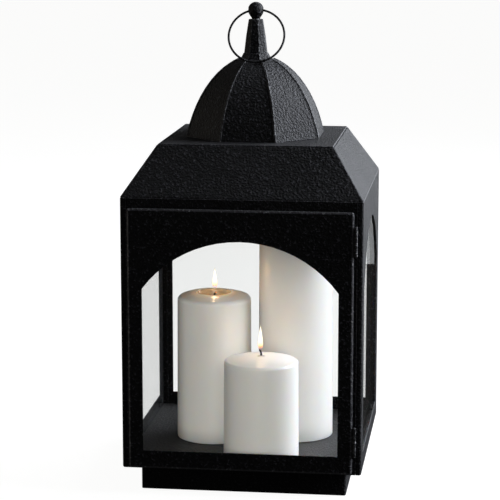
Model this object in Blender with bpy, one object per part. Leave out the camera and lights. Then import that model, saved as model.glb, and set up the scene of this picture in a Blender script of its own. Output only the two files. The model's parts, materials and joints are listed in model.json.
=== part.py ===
"""Candle lantern in folded sheet steel.

A square cabin on an inset plinth carries a hip roof, an eight-sided dome and a
finial with a carrying ring. The front is a hinged door with an arched window.
Three pillar candles stand on the floor of the cabin.

Metres, +Z up. The origin is under the middle of the plinth, and the door faces -Y.
"""
import math

import bmesh
import bpy
from mathutils import Matrix, Vector

for old in list(bpy.data.objects):
    bpy.data.objects.remove(old, do_unlink=True)

# ---------------------------------------------------------------- driving sizes

GAP = 0.0003                    # free space between pieces that touch
SHEET = 0.0012                  # steel sheet
BEND = 0.0022                   # outer radius of a fold in the sheet
SEAM_ROUND = 0.0008             # rounding along the seam of the walls and the roof
CUT_MARGIN = 0.010              # how far a cutter runs past what it cuts

BODY_SIDE = 0.250
BODY_BOTTOM = 0.0271
WALL_TOP = 0.3131
FLANGE = 0.006                  # side walls fold this far onto the front and the back
UNDER_FLANGE = 0.013            # all four walls fold this far under the floor

PLINTH_SIDE = 0.216
PLINTH_FLANGE = 0.014
FLOOR_TOP = 0.0320

SIDE_STILE = 0.021
SIDE_SILL = 0.0199
SIDE_TOP_RAIL = 0.034
SIDE_RISE = 0.060
BACK_STILE = 0.0128
BACK_SILL = 0.0193
BACK_TOP_RAIL = 0.034
BACK_RISE = 0.060
ARCH_STEPS = 20

GLASS = 0.0025
GLASS_LAP = 0.0046              # how far a pane reaches past its window
GLASS_TOP_LAP = 0.0065
TAB_SHEET = 0.0008
TAB_WIDTH = 0.008
TAB_FOOT = 0.006
TAB_LIP = 0.0040                # ends below the edge of the window
TAB_INSET = 0.010               # lower tabs, from the edge of the window
TAB_TOP_SPREAD = 0.060          # upper tabs, from the middle of the window

DOOR_LEFT_MARGIN = 0.0074
DOOR_RIGHT_MARGIN = 0.0094
DOOR_TOP_MARGIN = 0.0104
DOOR_BOTTOM_MARGIN = 0.0013
DOOR_STILE = 0.0152
DOOR_BOTTOM_RAIL = 0.0191
DOOR_TOP_RAIL = 0.0327
DOOR_RISE = 0.051
DOOR_SIDE_ROOM = 0.0035         # frame opening past the glass, each side
DOOR_END_ROOM = 0.0050          # frame opening past the glass, top and bottom

HINGE_HEIGHT = 0.0288
HINGE_FROM_TOP = 0.0161
HINGE_FROM_BOTTOM = 0.0201
LEAF = 0.0005
LEAF_ROOM = 0.0004              # between the two leaves of a closed hinge
BARREL_RADIUS = 0.0018
LEAF_LENGTH = 0.008
BARREL_STEPS = 16
PIN_HEAD_EDGE = 0.0007          # straight rim of a pin's head, under its round top
MAGNET_WIDTH = 0.005
MAGNET_HEIGHT = 0.024
MAGNET_ROOM = 0.0004            # between the magnet and the back of the door's sheet

ROOF_INSET = 0.034
ROOF_TOP = 0.3648
ROOF_LIP = 0.0084               # lip that drops inside the walls
ROOF_FLANGE = 0.010
HIP_ROUND = 0.0014

DOME_WIDEST = 0.0740            # apothem of the dome's ellipse at its widest level
DOME_DROP = 0.0400              # that level lies this far below the dome's foot
DOME_HEIGHT = 0.1248            # from that level to where the facets would meet
DOME_TOP_APOTHEM = 0.0185
DOME_LEVELS = 10
FACETS = 8
SEAM_WIDTH = 0.0012             # each side of a dome seam
SEAM_SHEET = 0.0005
DOME_WELL = 0.007               # foot of the dome past the hole in the roof plate

FINIAL_BASE_BOTTOM_ACROSS = 0.0312
FINIAL_BASE_TOP_ACROSS = 0.0252
FINIAL_BASE_HEIGHT = 0.0062
POST_BOTTOM_ACROSS = 0.0238
POST_MIDDLE_ACROSS = 0.0199
POST_TOP_ACROSS = 0.0146
POST_HEIGHT = 0.0352
BALL_RADIUS = 0.0085
BALL_RISE = 0.0094              # middle of the ball above the top of the post
TAPER_ANGLE = math.radians(56)  # from the bottom of the ball to where it tapers to the neck
NECK_RADIUS = 0.0044
NECK_HEIGHT = 0.0006
BALL_WEB = 0.0012               # metal between the stud's hole and the ring's hole
BALL_STEPS = 12
STUD_RADIUS = 0.0030
STUD_BELOW = 0.0105
WASHER_RADIUS = 0.0090
NUT_ACROSS = 0.010
NUT_HEIGHT = 0.005
NUT_SIDES = 6
STUD_STEPS = 16
ROUND_STEPS = 24

RING_RADIUS = 0.0296
RING_SWAY = 0.0022              # the ring hangs this far to the right of the ball's middle
WIRE_RADIUS = 0.00115
RING_HOLE_RADIUS = 0.0033
RING_HOLE_STEPS = 16
RING_STEPS = 56
WIRE_STEPS = 8
TILT_STEP = math.radians(0.1)
OUTLINE_STEPS = 40

FRONT_CANDLE_GAP = 0.0040       # between the front candle and the clips of the door glass
FRONT_CANDLE_X = 0.0156
MIDDLE_CANDLE_OFFSET = (-0.0605, 0.0751)    # from the front candle
TALL_CANDLE_OFFSET = (0.0270, 0.0937)       # from the front candle
FRONT_CANDLE = {"radius": 0.0395, "height": 0.1045, "shoulder": 0.0030, "crown": 0.0052,
                "pool_radius": 0.0095, "pool_depth": 0.0010, "wick_length": 0.0068, "wick_lean": 60,
                "wick_turn": 140}
MIDDLE_CANDLE = {"radius": 0.0404, "height": 0.1579, "shoulder": 0.0036, "crown": 0.0036,
                 "pool_radius": 0.0185, "pool_depth": 0.0080, "wick_length": 0.0086, "wick_lean": 50,
                 "wick_turn": 20}
TALL_CANDLE = {"radius": 0.0404, "height": 0.250, "shoulder": 0.0036, "crown": 0.0,
               "pool_radius": 0.017, "pool_depth": 0.0018, "wick_length": 0.0070, "wick_lean": 60,
               "wick_turn": 200}
CANDLE_FOOT = 0.0012            # chamfer round the foot
CANDLE_TAPER = 0.010            # share by which foot and top differ from the middle
POOL_LIP = 0.1                  # share of the shoulder's height that the pool's edge sits lower
POOL_FLOOR = 0.86               # floor of the pool, as a share of its mouth
CANDLE_STEPS = 36
SHOULDER_STEPS = 3
WICK_RADIUS = 0.0009
WICK_SEAT = 0.004
WICK_STRAIGHT = 0.35            # share of the wick that stands upright
WICK_STEPS = 4
WICK_SIDES = 8

# ---------------------------------------------------------------- worked-out sizes

HALF = BODY_SIDE / 2
INNER = HALF - SHEET
FRONT = -HALF
SMOOTH_ANGLE = math.radians(32)
FACET_TURN = 2 * math.pi / FACETS
FACET_TAN = math.tan(FACET_TURN / 2)

DOOR_LEFT = -HALF + DOOR_LEFT_MARGIN
DOOR_RIGHT = HALF - DOOR_RIGHT_MARGIN
DOOR_LOW = BODY_BOTTOM + DOOR_BOTTOM_MARGIN
DOOR_HIGH = WALL_TOP - DOOR_TOP_MARGIN
DOOR_MID = (DOOR_LEFT + DOOR_RIGHT) / 2
DOOR_HALF = (DOOR_RIGHT - DOOR_LEFT) / 2
DOOR_BACK = FRONT - GAP
DOOR_DEPTH = SHEET + GAP + LEAF + LEAF_ROOM + LEAF
DOOR_FACE = DOOR_BACK - DOOR_DEPTH
DOOR_SHEET_BACK = DOOR_FACE + SHEET
DOOR_WINDOW_HALF = DOOR_HALF - DOOR_STILE
DOOR_WINDOW_LOW = DOOR_LOW + DOOR_BOTTOM_RAIL
DOOR_WINDOW_APEX = DOOR_HIGH - DOOR_TOP_RAIL
DOOR_GLASS_HALF = DOOR_WINDOW_HALF + GLASS_LAP
DOOR_GLASS_LOW = DOOR_WINDOW_LOW - GLASS_LAP
DOOR_GLASS_HIGH = DOOR_WINDOW_APEX + GLASS_TOP_LAP

OPENING_LEFT = DOOR_MID - DOOR_GLASS_HALF - DOOR_SIDE_ROOM
OPENING_RIGHT = DOOR_MID + DOOR_GLASS_HALF + DOOR_SIDE_ROOM
OPENING_LOW = DOOR_GLASS_LOW - DOOR_END_ROOM
OPENING_HIGH = DOOR_GLASS_HIGH + DOOR_END_ROOM

AXIS_X = DOOR_RIGHT + GAP + BARREL_RADIUS
AXIS_Y = FRONT - GAP - BARREL_RADIUS
PIN_RADIUS = BARREL_RADIUS - LEAF - GAP
MAGNET_DEPTH = DOOR_DEPTH - SHEET - MAGNET_ROOM
SWAY_ANGLE = math.asin(RING_SWAY / RING_RADIUS)

ROOF_BOTTOM = WALL_TOP + GAP
PLATE_HALF = HALF - ROOF_INSET
PLATE_BOTTOM = ROOF_TOP - SHEET
HIP_TOP = PLATE_BOTTOM - GAP
DOME_FOOT = ROOF_TOP + GAP
DOME_WIDE_LEVEL = DOME_FOOT - DOME_DROP


# ---------------------------------------------------------------- finishes

def finish(name, colour, roughness, metallic=0.0, alpha=1.0):
    """A Principled material in one colour."""
    made = bpy.data.materials.new(name)
    made.use_nodes = True
    shader = made.node_tree.nodes["Principled BSDF"]
    shader.inputs["Base Color"].default_value = (*colour, 1.0)
    shader.inputs["Roughness"].default_value = roughness
    shader.inputs["Metallic"].default_value = metallic
    shader.inputs["Alpha"].default_value = alpha
    made.diffuse_color = (*colour, alpha)
    return made


def coated(name, lift=0.0):
    """Black textured powder coat; lift makes it a little paler."""
    return finish(name, (0.018 + lift, 0.019 + lift, 0.021 + lift), 0.62)


def clear_glass(name):
    return finish(name, (0.86, 0.92, 0.90), 0.03, alpha=0.25)


def zinc(name):
    return finish(name, (0.55, 0.56, 0.57), 0.35, metallic=1.0)


def wax(name):
    return finish(name, (0.86, 0.85, 0.82), 0.45)


# ---------------------------------------------------------------- helpers

def to_mesh(name, bm, smooth=False):
    """Close the bmesh into a mesh with its faces pointing out."""
    bmesh.ops.recalc_face_normals(bm, faces=bm.faces)
    mesh = bpy.data.meshes.new(name)
    bm.to_mesh(mesh)
    bm.free()
    if smooth:
        mesh.shade_smooth()
        mesh.set_sharp_from_angle(angle=SMOOTH_ANGLE)
    return mesh


def place(name, mesh, look, at=(0, 0, 0), turn=0.0, parent=None):
    """One named piece, set in place by its location and its turn about Z."""
    piece = bpy.data.objects.new(name, mesh)
    bpy.context.scene.collection.objects.link(piece)
    piece.location = at
    piece.rotation_euler = (0, 0, turn)
    piece.parent = parent
    if not mesh.materials:
        mesh.materials.append(look)
    return piece


def hub(name, at):
    """An empty that carries the pieces of a moving body, on its joint's axis."""
    made = bpy.data.objects.new(name, None)
    bpy.context.scene.collection.objects.link(made)
    made.location = at
    return made


def guide(name, bm):
    """A cutter: drawn as wire, never rendered."""
    made = bpy.data.objects.new(name, to_mesh(name, bm))
    bpy.context.scene.collection.objects.link(made)
    made.hide_render = True
    made.display_type = "WIRE"
    return made


def combine(piece, other, operation):
    step = piece.modifiers.new(operation.title(), "BOOLEAN")
    step.solver = "EXACT"
    step.operation = operation
    step.object = other


def block(low, high):
    bm = bmesh.new()
    bmesh.ops.create_cube(bm, size=1.0)
    low = Vector(low)
    high = Vector(high)
    bmesh.ops.scale(bm, vec=high - low, verts=bm.verts)
    bmesh.ops.translate(bm, vec=(high + low) / 2, verts=bm.verts)
    return bm


def square_block(half, low, high):
    return block((-half, -half, low), (half, half, high))


def same(a, b):
    return abs(a - b) < 1e-6


def runs_along(edge, axis):
    """True where an edge lies along the axis with this index."""
    one, two = edge.verts[0].co, edge.verts[1].co
    return all(same(one[i], two[i]) for i in range(3) if i != axis)


def lies_at(edge, axis, level):
    return all(same(corner.co[axis], level) for corner in edge.verts)


def round_edges(bm, radius, chosen, segments=3):
    edges = [edge for edge in bm.edges if chosen(edge)]
    bmesh.ops.bevel(bm, geom=edges, offset=radius, segments=segments, profile=0.5,
                    affect="EDGES", clamp_overlap=False, material=-1)
    return bm


def prism(outline, low, high, along):
    """Extrude a flat outline from low to high along the axis with this index."""
    def corner(point, level):
        spot = list(point)
        spot.insert(along, level)
        return spot

    bm = bmesh.new()
    face = bm.faces.new([bm.verts.new(corner(point, low)) for point in outline])
    grown = bmesh.ops.extrude_face_region(bm, geom=[face])
    moved = [item for item in grown["geom"] if isinstance(item, bmesh.types.BMVert)]
    shift = [0, 0, 0]
    shift[along] = high - low
    bmesh.ops.translate(bm, vec=shift, verts=moved)
    return bm


def arch(middle, half, low, apex, rise):
    """Outline of a window: straight sides under a segment of a circle."""
    radius = (half * half + rise * rise) / (2 * rise)
    centre = apex - radius
    reach = math.asin(half / radius)
    outline = [(middle - half, low), (middle + half, low)]
    for step in range(ARCH_STEPS + 1):
        angle = reach - 2 * reach * step / ARCH_STEPS
        outline.append((middle + radius * math.sin(angle), centre + radius * math.cos(angle)))
    return outline


def arc(radius, start, end, steps):
    """Points on a circle about the origin, angles in degrees."""
    points = []
    for step in range(steps + 1):
        angle = math.radians(start + (end - start) * step / steps)
        points.append((radius * math.cos(angle), radius * math.sin(angle)))
    return points


def turned(profile, steps, closed=False, start=0.0):
    """Turn a profile of (radius, height) points about Z."""
    bm = bmesh.new()
    direction = (math.cos(start), math.sin(start))
    corners = [bm.verts.new((r * direction[0], r * direction[1], z)) for r, z in profile]
    edges = [bm.edges.new(pair) for pair in zip(corners, corners[1:])]
    if closed:
        edges.append(bm.edges.new((corners[-1], corners[0])))
    bmesh.ops.spin(bm, geom=corners + edges, cent=(0, 0, 0), axis=(0, 0, 1),
                   angle=2 * math.pi, steps=steps, use_merge=True)
    bmesh.ops.remove_doubles(bm, verts=bm.verts, dist=1e-7)
    return bm


def across_corners(across_flats, sides):
    return across_flats / 2 / math.cos(math.pi / sides)


def faceted_sleeve(levels, hole, sides):
    """A many-sided turned piece with a hole through it; levels are (across flats, height)."""
    outside = [(across_corners(width, sides), height) for width, height in levels]
    bore = across_corners(2 * hole, sides)
    profile = [(bore, levels[0][1])] + outside + [(bore, levels[-1][1])]
    return turned(profile, sides, closed=True, start=math.pi / sides)


# ---------------------------------------------------------------- plinth, floor and walls

def make_plinth():
    half = PLINTH_SIDE / 2
    top = FLOOR_TOP - SHEET - GAP
    body = square_block(half, 0, top)
    round_edges(body, BEND, lambda edge: runs_along(edge, 2))
    round_edges(body, SEAM_ROUND, lambda edge: lies_at(edge, 2, 0), segments=2)
    piece = place("plinth", to_mesh("plinth", body), coated("plinth_coat"))
    inside = square_block(half - SHEET, SHEET, top - SHEET)
    round_edges(inside, BEND - SHEET, lambda edge: runs_along(edge, 2))
    well = square_block(half - PLINTH_FLANGE, -CUT_MARGIN, top + CUT_MARGIN)
    combine(piece, guide("plinth_inside", inside), "DIFFERENCE")
    combine(piece, guide("plinth_well", well), "DIFFERENCE")


def make_floor():
    """A shallow tray upside down: its folded rim stands on the flanges of the walls."""
    half = INNER - GAP
    rim = BODY_BOTTOM + SHEET + GAP
    tray = square_block(half, rim, FLOOR_TOP)
    round_edges(tray, BEND, lambda edge: runs_along(edge, 2))
    round_edges(tray, SHEET / 2, lambda edge: lies_at(edge, 2, rim), segments=1)
    piece = place("floor_tray", to_mesh("floor_tray", tray), coated("floor_coat", 0.012))
    under = square_block(half - SHEET, rim - CUT_MARGIN, FLOOR_TOP - SHEET)
    round_edges(under, BEND - SHEET, lambda edge: runs_along(edge, 2))
    combine(piece, guide("floor_under", under), "DIFFERENCE")


def shell_guide():
    """All four walls as one folded box with an open top, from which each wall is cut."""
    outside = square_block(HALF, BODY_BOTTOM, WALL_TOP)
    round_edges(outside, BEND, lambda edge: runs_along(edge, 2) or lies_at(edge, 2, BODY_BOTTOM))
    round_edges(outside, SEAM_ROUND, lambda edge: lies_at(edge, 2, WALL_TOP), segments=2)
    inner_low = BODY_BOTTOM + SHEET
    inside = square_block(INNER, inner_low, WALL_TOP + CUT_MARGIN)
    round_edges(inside, BEND - SHEET,
                lambda edge: runs_along(edge, 2) or lies_at(edge, 2, inner_low))
    shell = guide("wall_shell", outside)
    combine(shell, guide("wall_inside", inside), "DIFFERENCE")
    under = square_block(HALF - UNDER_FLANGE, BODY_BOTTOM - CUT_MARGIN, inner_low + CUT_MARGIN)
    combine(shell, guide("wall_under", under), "DIFFERENCE")
    return shell


def make_walls():
    shell = shell_guide()
    low = BODY_BOTTOM - CUT_MARGIN
    high = WALL_TOP + CUT_MARGIN
    far = HALF + CUT_MARGIN
    seam = HALF - FLANGE
    under = HALF - UNDER_FLANGE - CUT_MARGIN
    side_plan = [(far, -far), (far, far), (seam, far), (seam, seam),
                 (under, under), (under, -under), (seam, -seam), (seam, -far)]
    edge = seam - GAP
    mitre_gap = GAP * math.sqrt(2)
    end_plan = [(-edge, -far), (edge, -far), (edge, -edge - mitre_gap),
                (under, -under - mitre_gap), (-under, -under - mitre_gap), (-edge, -edge - mitre_gap)]

    side_half = HALF - SIDE_STILE
    side_window = arch(0, side_half, BODY_BOTTOM + SIDE_SILL, WALL_TOP - SIDE_TOP_RAIL, SIDE_RISE)
    side_cut = guide("side_windows", prism(side_window, -far, far, 0))
    for name, turn in (("right_wall", 0), ("left_wall", math.pi)):
        wall = place(name, to_mesh(name, prism(side_plan, low, high, 2)), coated(name + "_coat"), turn=turn)
        combine(wall, shell, "INTERSECT")
        combine(wall, side_cut, "DIFFERENCE")

    frame = place("front_frame", to_mesh("front_frame", prism(end_plan, low, high, 2)),
                  coated("front_frame_coat"))
    combine(frame, shell, "INTERSECT")
    opening = block((OPENING_LEFT, -far, OPENING_LOW), (OPENING_RIGHT, 0, OPENING_HIGH))
    combine(frame, guide("door_opening", opening), "DIFFERENCE")

    back_half = HALF - BACK_STILE
    back_window = arch(0, back_half, BODY_BOTTOM + BACK_SILL, WALL_TOP - BACK_TOP_RAIL, BACK_RISE)
    back = place("back_wall", to_mesh("back_wall", prism(end_plan, low, high, 2)),
                 coated("back_wall_coat"), turn=math.pi)
    combine(back, shell, "INTERSECT")
    combine(back, guide("back_window", prism(back_window, 0, far, 1)), "DIFFERENCE")


# ---------------------------------------------------------------- glass and its tabs

def tab_mesh(name, upward):
    """A bent tab: a foot on the sheet, a shelf past the glass edge and a lip over the glass.

    Its own frame has Y pointing away from the sheet and the glass edge at Z = 0.
    upward is 1 for a tab at the lower edge of a pane and -1 for one at the upper edge.
    """
    shelf = -GAP
    reach = GAP + GLASS + GAP + TAB_SHEET
    outline = [
        (GAP, shelf - TAB_FOOT), (GAP + TAB_SHEET, shelf - TAB_FOOT),
        (GAP + TAB_SHEET, shelf - TAB_SHEET), (reach, shelf - TAB_SHEET),
        (reach, shelf + TAB_LIP), (reach - TAB_SHEET, shelf + TAB_LIP),
        (reach - TAB_SHEET, shelf), (GAP, shelf),
    ]
    outline = [(depth, upward * height) for depth, height in outline]
    return to_mesh(name, prism(outline, -TAB_WIDTH / 2, TAB_WIDTH / 2, 0))


def make_pane(name, sheet_at, turn, middle, half, low, high, parent=None):
    """One pane of glass behind a window, with two tabs under it and two over it.

    sheet_at is the point on the back of the sheet, and turn points its inward side along +Y.
    """
    pane = block((middle - half, GAP, low), (middle + half, GAP + GLASS, high))
    round_edges(pane, SEAM_ROUND / 2, lambda edge: runs_along(edge, 1), segments=1)
    place(name + "_glass", to_mesh(name + "_glass", pane), clear_glass(name + "_glass_clear"),
          at=sheet_at, turn=turn, parent=parent)
    spread = half - GLASS_LAP - TAB_INSET
    spots = (
        ("lower_left", -spread, low, 1), ("lower_right", spread, low, 1),
        ("upper_left", -TAB_TOP_SPREAD, high, -1), ("upper_right", TAB_TOP_SPREAD, high, -1),
    )
    across = Vector((math.cos(turn), math.sin(turn), 0))
    for spot, offset, level, upward in spots:
        tab = name + "_tab_" + spot
        place(tab, tab_mesh(tab, upward), coated(tab + "_coat", 0.01),
              at=Vector(sheet_at) + across * (middle + offset) + Vector((0, 0, level)),
              turn=turn, parent=parent)


def make_fixed_panes():
    side_half = HALF - SIDE_STILE + GLASS_LAP
    side_low = BODY_BOTTOM + SIDE_SILL - GLASS_LAP
    side_high = WALL_TOP - SIDE_TOP_RAIL + GLASS_TOP_LAP
    make_pane("right", (INNER, 0, 0), math.pi / 2, 0, side_half, side_low, side_high)
    make_pane("left", (-INNER, 0, 0), -math.pi / 2, 0, side_half, side_low, side_high)
    back_half = HALF - BACK_STILE + GLASS_LAP
    back_low = BODY_BOTTOM + BACK_SILL - GLASS_LAP
    back_high = WALL_TOP - BACK_TOP_RAIL + GLASS_TOP_LAP
    make_pane("back", (0, INNER, 0), math.pi, 0, back_half, back_low, back_high)


# ---------------------------------------------------------------- hinges, door and catch

def leaf_outline(near, far, wrap_end, wrap_start):
    """Plan of a rolled hinge leaf about the pin: a strip whose end curls round the barrel.

    near and far are the two faces of the strip, measured from the pin's axis.
    """
    bore = BARREL_RADIUS - LEAF
    outer = arc(BARREL_RADIUS, wrap_start, wrap_end, BARREL_STEPS)
    inner_end = 180 - math.degrees(math.asin(min(1.0, near / bore)))
    inner = arc(bore, wrap_end, inner_end, BARREL_STEPS)
    return [(-LEAF_LENGTH, near), (-LEAF_LENGTH, far)] + outer + inner


def make_hinge(level, low, door_hub):
    """Three knuckles on one pin: the frame's leaf has two of them and the door's leaf one."""
    high = low + HINGE_HEIGHT
    knuckle = HINGE_HEIGHT / 3
    clear = BARREL_RADIUS + GAP
    name = "hinge_" + level
    axis = (AXIS_X, AXIS_Y, 0)

    frame_near = BARREL_RADIUS - LEAF
    frame_plan = leaf_outline(frame_near, BARREL_RADIUS, -200, 90)
    frame_leaf = place(name + "_frame_leaf", to_mesh(name + "_frame", prism(frame_plan, low, high, 2)),
                       coated(name + "_frame_coat"), at=axis)
    middle = block((AXIS_X - clear, AXIS_Y - 2 * clear, low + knuckle - GAP / 2),
                   (AXIS_X + clear, AXIS_Y + 2 * clear, high - knuckle + GAP / 2))
    combine(frame_leaf, guide(name + "_door_knuckle_room", middle), "DIFFERENCE")

    door_near = (DOOR_SHEET_BACK + GAP) - AXIS_Y
    door_far = door_near + LEAF
    wrap = 180 - math.degrees(math.asin(door_far / BARREL_RADIUS))
    door_plan = leaf_outline(door_near, door_far, -180, wrap)
    door_leaf = place(name + "_door_leaf", to_mesh(name + "_door", prism(door_plan, low, high, 2)),
                      coated(name + "_door_coat"), parent=door_hub)
    for end, bottom, top in (("low", low - CUT_MARGIN, low + knuckle + GAP / 2),
                             ("high", high - knuckle - GAP / 2, high + CUT_MARGIN)):
        room = block((AXIS_X - clear, AXIS_Y - 2 * clear, bottom),
                     (AXIS_X + 2 * clear, AXIS_Y + 2 * clear, top))
        combine(door_leaf, guide(name + "_frame_knuckle_room_" + end, room), "DIFFERENCE")

    head = BARREL_RADIUS - GAP
    rim_low = low - GAP - PIN_HEAD_EDGE
    rim_high = high + GAP + PIN_HEAD_EDGE
    crown = [(radius, rise / 2) for radius, rise in arc(head, 0, 90, SHOULDER_STEPS)]
    profile = [(radius, rim_low - rise) for radius, rise in reversed(crown)]
    profile += [(head, low - GAP), (PIN_RADIUS, low - GAP), (PIN_RADIUS, high + GAP), (head, high + GAP)]
    profile += [(radius, rim_high + rise) for radius, rise in crown]
    place(name + "_pin", to_mesh(name + "_pin", turned(profile, BARREL_STEPS), smooth=True),
          coated(name + "_pin_coat", 0.01), at=axis)


def make_door(door_hub):
    """A shallow folded pan with an arched window; its pane and leaves turn with it."""
    def local(point):
        return (point[0] - AXIS_X, point[1] - AXIS_Y, point[2])

    pan = block(local((DOOR_LEFT, DOOR_FACE, DOOR_LOW)), local((DOOR_RIGHT, DOOR_BACK, DOOR_HIGH)))
    round_edges(pan, BEND, lambda edge: runs_along(edge, 1) or lies_at(edge, 1, DOOR_FACE - AXIS_Y))
    panel = place("door_panel", to_mesh("door_panel", pan), coated("door_coat"), parent=door_hub)
    inside = block((DOOR_LEFT + SHEET, DOOR_SHEET_BACK, DOOR_LOW + SHEET),
                   (DOOR_RIGHT - SHEET, DOOR_BACK + CUT_MARGIN, DOOR_HIGH - SHEET))
    round_edges(inside, BEND - SHEET,
                lambda edge: runs_along(edge, 1) or lies_at(edge, 1, DOOR_SHEET_BACK))
    combine(panel, guide("door_inside", inside), "DIFFERENCE")
    window = arch(DOOR_MID, DOOR_WINDOW_HALF, DOOR_WINDOW_LOW, DOOR_WINDOW_APEX, DOOR_RISE)
    cut = prism(window, DOOR_FACE - CUT_MARGIN, DOOR_BACK, 1)
    combine(panel, guide("door_window", cut), "DIFFERENCE")

    levels = (("upper", DOOR_HIGH - HINGE_FROM_TOP - HINGE_HEIGHT),
              ("lower", DOOR_LOW + HINGE_FROM_BOTTOM))
    for level, low in levels:
        notch = block((DOOR_RIGHT - 2 * BEND, DOOR_SHEET_BACK, low - GAP),
                      (DOOR_RIGHT + CUT_MARGIN, DOOR_BACK + CUT_MARGIN, low + HINGE_HEIGHT + GAP))
        combine(panel, guide("hinge_notch_" + level, notch), "DIFFERENCE")
        make_hinge(level, low, door_hub)

    make_pane("door", local((DOOR_MID, DOOR_SHEET_BACK, 0)), 0, 0, DOOR_GLASS_HALF,
              DOOR_GLASS_LOW, DOOR_GLASS_HIGH, parent=door_hub)


def make_catch():
    """A flat bar magnet on the frame, in the space behind the door's free edge."""
    middle_x = (OPENING_LEFT + DOOR_LEFT + SHEET) / 2
    middle_z = (DOOR_LOW + DOOR_HIGH) / 2
    bar = block((-MAGNET_WIDTH / 2, -MAGNET_DEPTH, -MAGNET_HEIGHT / 2),
                (MAGNET_WIDTH / 2, 0, MAGNET_HEIGHT / 2))
    round_edges(bar, SEAM_ROUND, lambda edge: runs_along(edge, 1), segments=2)
    place("catch_magnet", to_mesh("catch_magnet", bar), finish("magnet_ferrite", (0.06, 0.06, 0.065), 0.5),
          at=(middle_x, FRONT - GAP, middle_z))


# ---------------------------------------------------------------- roof

def hip_frustum(bottom_half, top_half, low, high):
    bm = square_block(bottom_half, low, high)
    grow = top_half / bottom_half
    top = [corner for corner in bm.verts if same(corner.co.z, high)]
    bmesh.ops.scale(bm, vec=(grow, grow, 1), verts=top)
    return bm


def make_roof():
    """Four slopes folded from one sheet, with a lip inside the walls and a flange under the plate."""
    run = HALF - PLATE_HALF
    rise = ROOF_TOP - ROOF_BOTTOM
    slope = run / rise

    def half_at(height):
        return HALF - slope * (height - ROOF_BOTTOM)

    outside = hip_frustum(HALF, half_at(HIP_TOP), ROOF_BOTTOM, HIP_TOP)
    round_edges(outside, HIP_ROUND,
                lambda edge: not lies_at(edge, 2, ROOF_BOTTOM) and not lies_at(edge, 2, HIP_TOP))
    round_edges(outside, SEAM_ROUND, lambda edge: lies_at(edge, 2, ROOF_BOTTOM), segments=2)
    hip = place("roof_hip", to_mesh("roof_hip", outside), coated("roof_coat", 0.004))

    wall = SHEET * math.hypot(1, slope) + GAP
    start = ROOF_BOTTOM - CUT_MARGIN
    end = HIP_TOP - SHEET
    inside = hip_frustum(half_at(start) - wall, half_at(end) - wall, start, end)
    combine(hip, guide("roof_inside", inside), "DIFFERENCE")
    vent = square_block(half_at(HIP_TOP) - ROOF_FLANGE, end - CUT_MARGIN, HIP_TOP + CUT_MARGIN)
    combine(hip, guide("roof_well", vent), "DIFFERENCE")

    lip_half = INNER - GAP
    lip_top = ROOF_BOTTOM + (HALF - lip_half) / slope / 2
    lip = square_block(lip_half, ROOF_BOTTOM - ROOF_LIP, lip_top)
    round_edges(lip, BEND, lambda edge: runs_along(edge, 2))
    lip_guide = guide("roof_lip", lip)
    core = square_block(lip_half - SHEET, ROOF_BOTTOM - ROOF_LIP - CUT_MARGIN, lip_top + CUT_MARGIN)
    combine(lip_guide, guide("roof_lip_core", core), "DIFFERENCE")
    combine(hip, lip_guide, "UNION")

    plate = square_block(PLATE_HALF, PLATE_BOTTOM, ROOF_TOP)
    round_edges(plate, SEAM_ROUND, lambda edge: runs_along(edge, 2) or lies_at(edge, 2, ROOF_TOP),
                segments=2)
    top = place("roof_plate", to_mesh("roof_plate", plate), coated("roof_plate_coat", 0.004))
    hole_radius = (dome_point(0)[0] - DOME_WELL) / math.cos(FACET_TURN / 2)
    hole = turned([(0, PLATE_BOTTOM - CUT_MARGIN), (hole_radius, PLATE_BOTTOM - CUT_MARGIN),
                   (hole_radius, ROOF_TOP + CUT_MARGIN), (0, ROOF_TOP + CUT_MARGIN)],
                  FACETS, start=FACET_TURN / 2)
    combine(top, guide("roof_plate_hole", hole), "DIFFERENCE")


# ---------------------------------------------------------------- dome

def dome_point(share):
    """Apothem, height and outward normal of the dome's outline, from foot (0) to top (1)."""
    first = math.asin(DOME_DROP / DOME_HEIGHT)
    last = math.acos(DOME_TOP_APOTHEM / DOME_WIDEST)
    angle = first + (last - first) * share
    wide = math.cos(angle)
    tall = math.sin(angle)
    normal = Vector((wide / DOME_WIDEST, tall / DOME_HEIGHT)).normalized()
    return DOME_WIDEST * wide, DOME_WIDE_LEVEL + DOME_HEIGHT * tall, normal


def gore_mesh():
    """One curved facet of the dome; its right-hand edge laps over the next facet as a seam."""
    half_gap = GAP / 2 / math.cos(FACET_TURN / 2)
    seam_low = GAP
    seam_high = GAP + SEAM_SHEET

    def corner(share, facet, layer, side, inset):
        """A point of facet 0 or 1: layer is its height above the sheet's outer face."""
        apothem, height, normal = dome_point(share)
        out = apothem + layer * normal.x
        level = DOME_FOOT if share == 0 else height + layer * normal.y
        along = side * (out * FACET_TAN - inset)
        turn = -math.pi / 2 + facet * FACET_TURN
        return (out * math.cos(turn) - along * math.sin(turn),
                out * math.sin(turn) + along * math.cos(turn), level)

    section = [
        (0, -SHEET, -1, half_gap), (0, -SHEET, 1, half_gap), (0, 0, 1, half_gap),
        (0, seam_low, 1, 0), (1, seam_low, -1, SEAM_WIDTH), (1, seam_high, -1, SEAM_WIDTH),
        (0, seam_high, 1, 0), (0, seam_high, 1, SEAM_WIDTH), (0, 0, 1, SEAM_WIDTH),
        (0, 0, -1, half_gap),
    ]
    bm = bmesh.new()
    rings = []
    for level in range(DOME_LEVELS + 1):
        share = level / DOME_LEVELS
        rings.append([bm.verts.new(corner(share, *point)) for point in section])
    for lower, upper in zip(rings, rings[1:]):
        for i in range(len(section)):
            j = (i + 1) % len(section)
            bm.faces.new((lower[i], lower[j], upper[j], upper[i]))
    bm.faces.new(reversed(rings[0]))
    bm.faces.new(rings[-1])
    return to_mesh("dome_gore", bm, smooth=True)


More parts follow.
